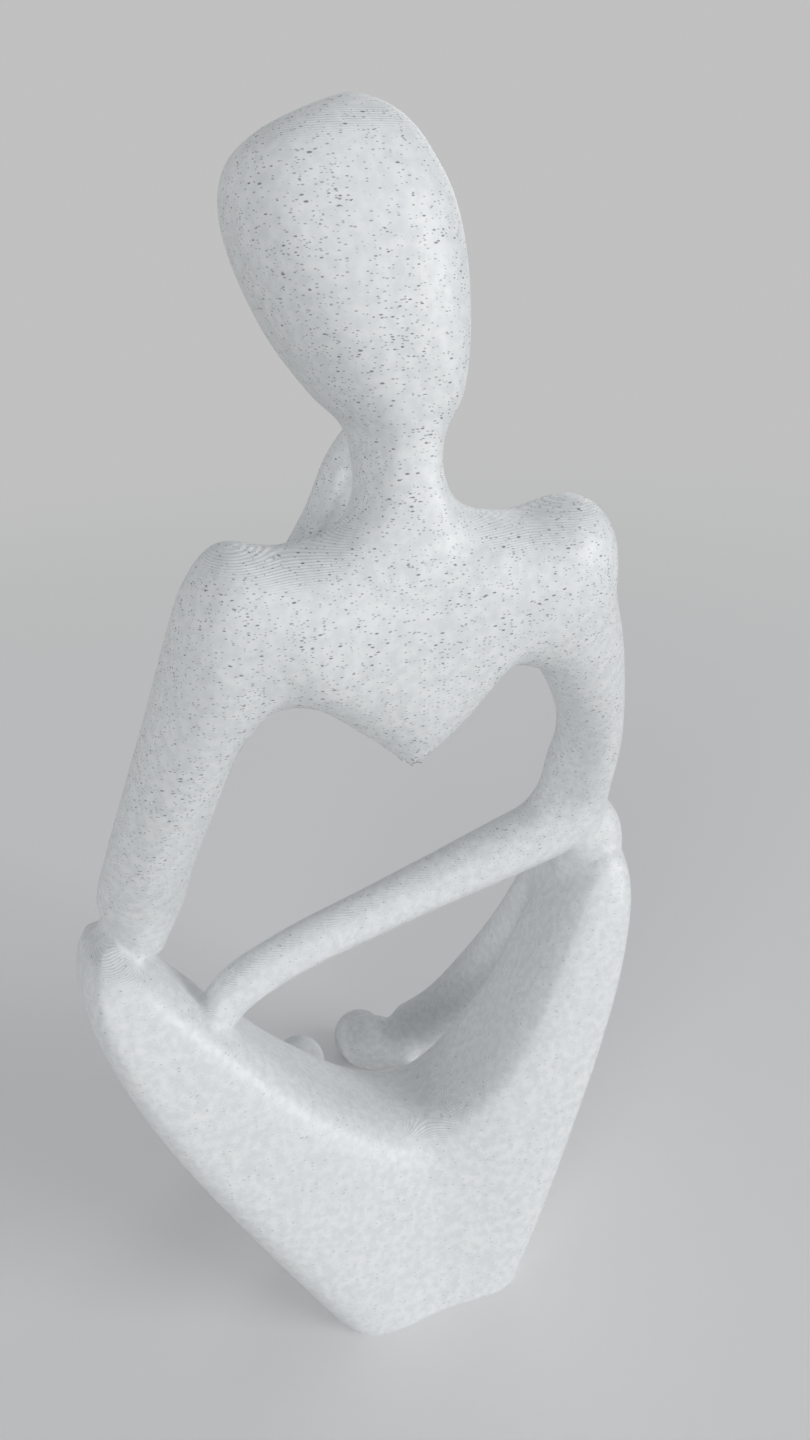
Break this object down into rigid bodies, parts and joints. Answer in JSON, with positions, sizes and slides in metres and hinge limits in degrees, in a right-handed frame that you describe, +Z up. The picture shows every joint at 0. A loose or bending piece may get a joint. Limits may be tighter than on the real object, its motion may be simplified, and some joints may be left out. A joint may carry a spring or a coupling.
{
  "type": "thinker statue",
  "caption": "Abstract seated thinker figure, faceless, with its chin on one hand and its arms in an open arch; stands as an ornament or paperweight.",
  "frame": {"origin": "middle of the figure's footprint, on the surface that its seat and soles rest on", "axes": "+Z up; the figure faces -Y, so +Y is its back and +X its left side"},
  "size_m": [0.0814, 0.0704, 0.1579],
  "materials": {
    "marble_print": "white plastic with fine dark grey specks, printed in fine layers"
  },
  "bodies": {
    "root": {"hips": "marble_print", "left_thigh": "marble_print", "right_thigh": "marble_print", "left_shin": "marble_print", "right_shin": "marble_print", "left_foot": "marble_print", "right_foot": "marble_print", "chest": "marble_print", "left_upper_arm": "marble_print", "right_upper_arm": "marble_print", "left_forearm": "marble_print", "left_hand": "marble_print", "right_forearm": "marble_print", "right_hand": "marble_print", "neck": "marble_print", "head": "marble_print"}
  },
  "joints": []
}
